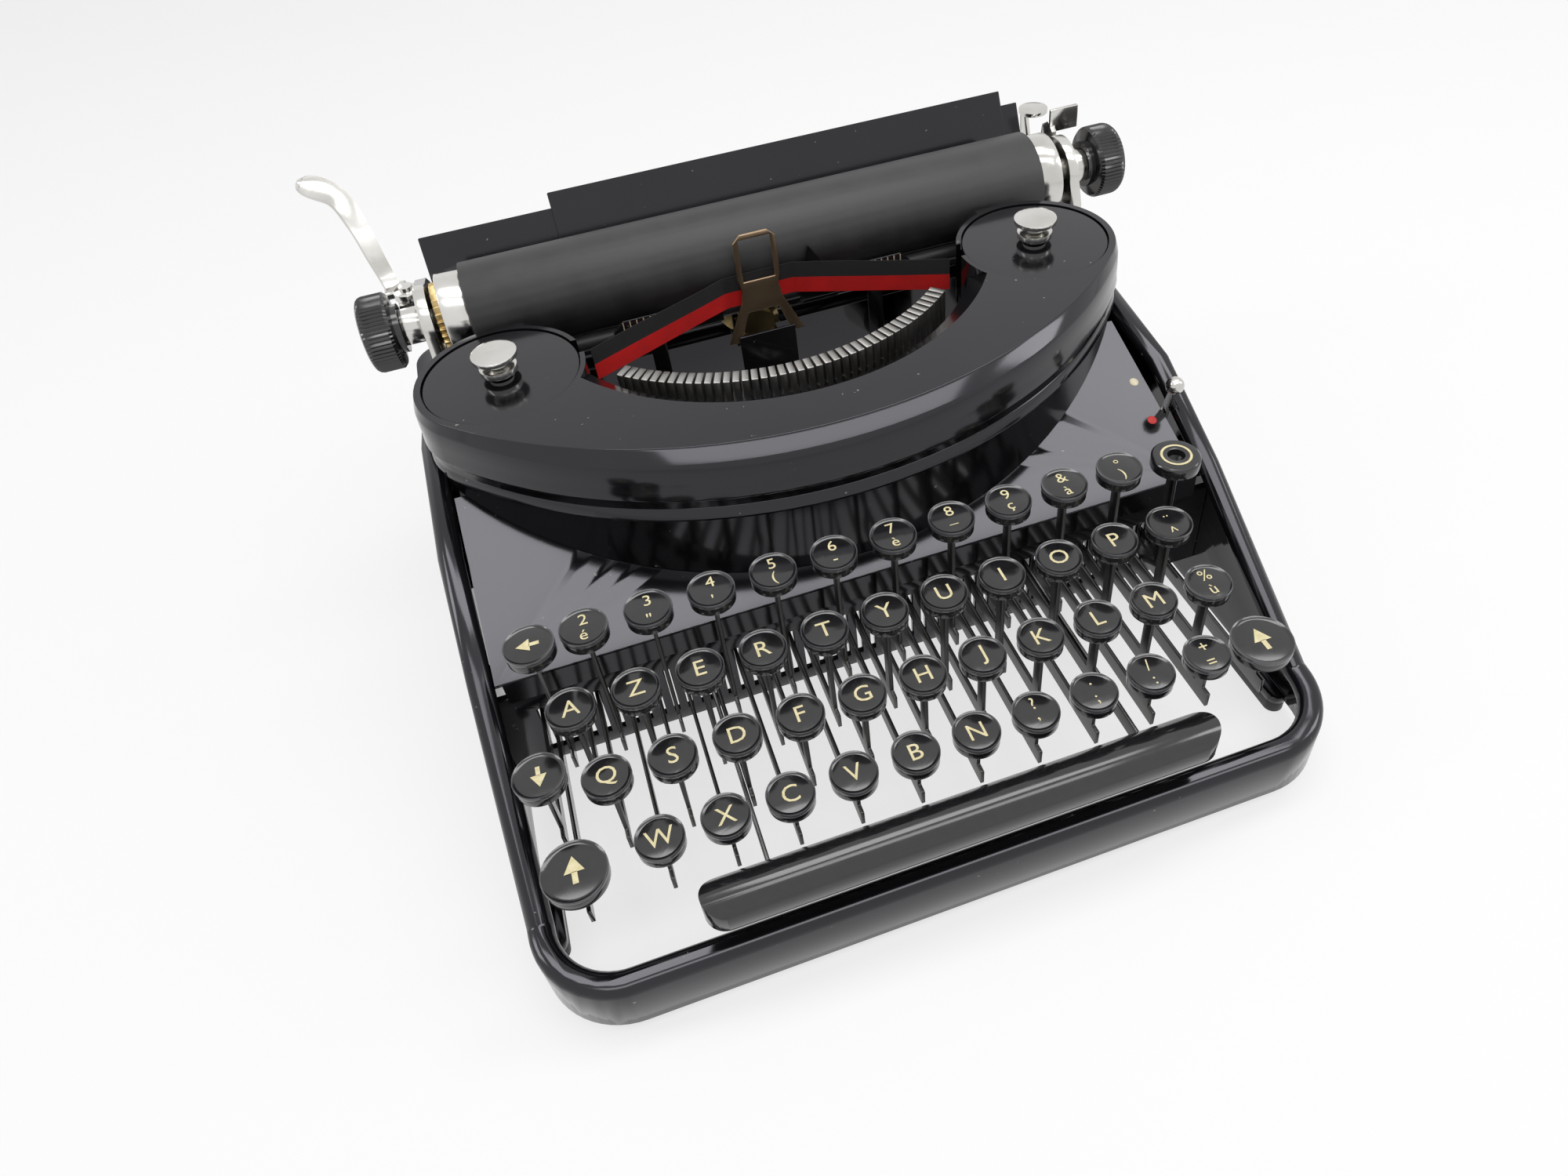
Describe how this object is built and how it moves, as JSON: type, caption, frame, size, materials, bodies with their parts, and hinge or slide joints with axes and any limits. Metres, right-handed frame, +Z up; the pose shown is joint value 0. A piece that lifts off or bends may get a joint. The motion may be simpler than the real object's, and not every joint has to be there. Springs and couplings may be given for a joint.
{
  "type": "portable typewriter",
  "caption": "Low portable typewriter with a round-cornered enamelled frame, stepped rows of ringed round keys, a crescent type cover with spool cups, and a rubber platen on a sliding carriage.",
  "frame": {"origin": "centre of the whole machine's box, at the bottom of the rubber feet", "axes": "+X to the typist's right, +Y from the keyboard to the back, +Z up"},
  "size_m": [0.308, 0.274, 0.1594],
  "materials": {
    "black_enamel": "gloss black enamel, lightly worn",
    "black_steel": "satin black",
    "dark_rubber": "satin charcoal rubber",
    "chrome": "polished nickel-chrome",
    "steel": "bare steel, dulled",
    "key_black": "gloss black",
    "brass": "satin brass",
    "tan_steel": "browned steel",
    "inked_ribbon": "inked cloth, black over red"
  },
  "bodies": {
    "frame": {"base_frame": "black_enamel", "rubber_feet": "dark_rubber", "rear_screws": "steel", "apron_panel": "black_enamel", "lever_comb": "black_steel", "lever_shaft": "steel", "mechanism_plate": "black_steel", "type_cover": "black_enamel", "spool_cover_left": "black_enamel", "spool_cover_right": "black_enamel", "ribbon": "inked_ribbon", "line_scale": "black_steel", "vibrator_guide": "black_steel", "basket_guide_rods": "steel", "carriage_bed": "black_steel", "bell": "chrome"},
    "left_spool": {"ribbon_spool_left": "steel", "spool_knob_left": "chrome"},
    "right_spool": {"ribbon_spool_right": "steel", "spool_knob_right": "chrome"},
    "vibrator": {"ribbon_vibrator": "tan_steel"},
    "type_basket": {"type_bars": "steel", "type_segment": "steel"},
    "key_row_1": {"key_levers_row_1": "steel", "key_tops_row_1": "key_black"},
    "key_row_2": {"key_levers_row_2": "steel", "key_tops_row_2": "key_black"},
    "key_row_3": {"key_levers_row_3": "steel", "key_tops_row_3": "key_black"},
    "key_row_4": {"key_levers_row_4": "steel", "key_tops_row_4": "key_black"},
    "left_shift": {"shift_key_left": "key_black"},
    "right_shift": {"shift_key_right": "key_black"},
    "shift_lock": {"shift_lock_key": "key_black"},
    "backspace": {"backspace_key": "key_black"},
    "margin_release": {"margin_release_key": "key_black"},
    "space": {"space_bar": "key_black", "space_bar_arms": "steel"},
    "selector": {"colour_selector": "chrome"},
    "carriage": {"carriage_frame": "chrome", "paper_table": "black_enamel", "paper_support": "black_enamel", "margin_rack": "steel", "escapement_rack": "steel"},
    "platen_unit": {"platen": "dark_rubber", "platen_shaft": "steel", "platen_end_caps": "chrome", "ratchet_wheel": "brass", "platen_knob_left": "key_black", "platen_knob_right": "key_black", "shaft_collars": "chrome"},
    "front_roller": {"feed_roller_front": "dark_rubber"},
    "rear_roller": {"feed_roller_rear": "dark_rubber"},
    "left_stop": {"margin_stop_left": "steel"},
    "right_stop": {"margin_stop_right": "steel"},
    "line_lever": {"return_lever": "chrome"},
    "paper_release": {"paper_release_lever": "chrome"},
    "carriage_release": {"carriage_release_lever": "chrome"},
    "escapement": {"escapement_pinion": "brass"},
    "mainspring": {"mainspring_drum": "brass"}
  },
  "joints": [
    {"name": "key_row_1_press", "type": "hinge", "parent": "frame", "child": "key_row_1", "pos_m": [0, 0.05897, 0.039], "axis": [1, 0, 0], "range_deg": [0, 4.5], "stiffness_Nm_per_rad": 0.5},
    {"name": "key_row_2_press", "type": "hinge", "parent": "frame", "child": "key_row_2", "pos_m": [0, 0.05897, 0.039], "axis": [1, 0, 0], "range_deg": [0, 4.5], "stiffness_Nm_per_rad": 0.5},
    {"name": "key_row_3_press", "type": "hinge", "parent": "frame", "child": "key_row_3", "pos_m": [0, 0.05897, 0.039], "axis": [1, 0, 0], "range_deg": [0, 4.5], "stiffness_Nm_per_rad": 0.5},
    {"name": "key_row_4_press", "type": "hinge", "parent": "frame", "child": "key_row_4", "pos_m": [0, 0.05897, 0.039], "axis": [1, 0, 0], "range_deg": [0, 4.5], "stiffness_Nm_per_rad": 0.5},
    {"name": "shift_left_press", "type": "hinge", "parent": "frame", "child": "left_shift", "pos_m": [0, 0.05897, 0.039], "axis": [1, 0, 0], "range_deg": [0, 3.5], "stiffness_Nm_per_rad": 0.5},
    {"name": "shift_right_press", "type": "hinge", "parent": "frame", "child": "right_shift", "pos_m": [0, 0.05897, 0.039], "axis": [1, 0, 0], "range_deg": [0, 3.5], "stiffness_Nm_per_rad": 0.5},
    {"name": "shift_lock_press", "type": "hinge", "parent": "frame", "child": "shift_lock", "pos_m": [0, 0.05897, 0.039], "axis": [1, 0, 0], "range_deg": [0, 3.5], "stiffness_Nm_per_rad": 0.5},
    {"name": "backspace_press", "type": "hinge", "parent": "frame", "child": "backspace", "pos_m": [0, 0.05897, 0.039], "axis": [1, 0, 0], "range_deg": [0, 4], "stiffness_Nm_per_rad": 0.5},
    {"name": "margin_release_press", "type": "hinge", "parent": "frame", "child": "margin_release", "pos_m": [0, 0.05897, 0.039], "axis": [1, 0, 0], "range_deg": [0, 4], "stiffness_Nm_per_rad": 0.5},
    {"name": "space_bar_press", "type": "hinge", "parent": "frame", "child": "space", "pos_m": [0, 0.05897, 0.039], "axis": [1, 0, 0], "range_deg": [0, 3], "stiffness_Nm_per_rad": 0.5},
    {"name": "basket_shift", "type": "slide", "parent": "frame", "child": "type_basket", "axis": [0, 0, -1], "range_m": [0, 0.0061]},
    {"name": "vibrator_lift", "type": "slide", "parent": "frame", "child": "vibrator", "axis": [0, 0, 1], "range_m": [0, 0.007]},
    {"name": "selector_swing", "type": "hinge", "parent": "frame", "child": "selector", "pos_m": [0.122, -0.01903, 0.053], "axis": [1, 0, 0], "range_deg": [-9, 9]},
    {"name": "left_spool_turn", "type": "hinge", "parent": "frame", "child": "left_spool", "pos_m": [-0.09625, 0.03297, 0.105], "axis": [0, 0, 1], "continuous": true},
    {"name": "right_spool_turn", "type": "hinge", "parent": "frame", "child": "right_spool", "pos_m": [0.09625, 0.03297, 0.105], "axis": [0, 0, 1], "continuous": true},
    {"name": "carriage_travel", "type": "slide", "parent": "frame", "child": "carriage", "axis": [1, 0, 0], "range_m": [-0.112, 0.098]},
    {"name": "platen_turn", "type": "hinge", "parent": "carriage", "child": "platen_unit", "pos_m": [0, 0.08197, 0.117], "axis": [1, 0, 0], "continuous": true},
    {"name": "front_roller_turn", "type": "hinge", "parent": "carriage", "child": "front_roller", "pos_m": [0, 0.06837, 0.101], "axis": [1, 0, 0], "continuous": true},
    {"name": "rear_roller_turn", "type": "hinge", "parent": "carriage", "child": "rear_roller", "pos_m": [0, 0.09557, 0.1014], "axis": [1, 0, 0], "continuous": true},
    {"name": "left_margin_slide", "type": "slide", "parent": "carriage", "child": "left_stop", "axis": [1, 0, 0], "range_m": [-0.045, 0.06]},
    {"name": "right_margin_slide", "type": "slide", "parent": "carriage", "child": "right_stop", "axis": [1, 0, 0], "range_m": [-0.06, 0.035]},
    {"name": "return_lever_swing", "type": "hinge", "parent": "carriage", "child": "line_lever", "pos_m": [-0.124, 0.10247, 0.117], "axis": [0, 0, 1], "range_deg": [-28, 0]},
    {"name": "paper_release_swing", "type": "hinge", "parent": "carriage", "child": "paper_release", "pos_m": [0.1348, 0.10097, 0.115], "axis": [1, 0, 0], "range_deg": [-20, 0]},
    {"name": "carriage_release_swing", "type": "hinge", "parent": "carriage", "child": "carriage_release", "pos_m": [0.1348, 0.11697, 0.106], "axis": [1, 0, 0], "range_deg": [-15, 0]},
    {"name": "escapement_turn", "type": "hinge", "parent": "frame", "child": "escapement", "pos_m": [0, 0.07697, 0.0868], "axis": [0, 1, 0], "continuous": true},
    {"name": "mainspring_turn", "type": "hinge", "parent": "frame", "child": "mainspring", "pos_m": [-0.08, 0.09297, 0.045], "axis": [0, 1, 0], "continuous": true}
  ],
  "couplings": [
    {"joint": "shift_right_press", "follows": "shift_left_press", "ratio": 1},
    {"joint": "shift_lock_press", "follows": "shift_left_press", "ratio": 1},
    {"joint": "basket_shift", "follows": "shift_left_press", "m_per_rad": 0.098221},
    {"joint": "right_spool_turn", "follows": "left_spool_turn", "ratio": 1},
    {"joint": "front_roller_turn", "follows": "platen_turn", "ratio": -5.8333},
    {"joint": "rear_roller_turn", "follows": "platen_turn", "ratio": -5.8333},
    {"joint": "escapement_turn", "follows": "carriage_travel", "rad_per_m": 125},
    {"joint": "mainspring_turn", "follows": "carriage_travel", "rad_per_m": 55.556}
  ]
}
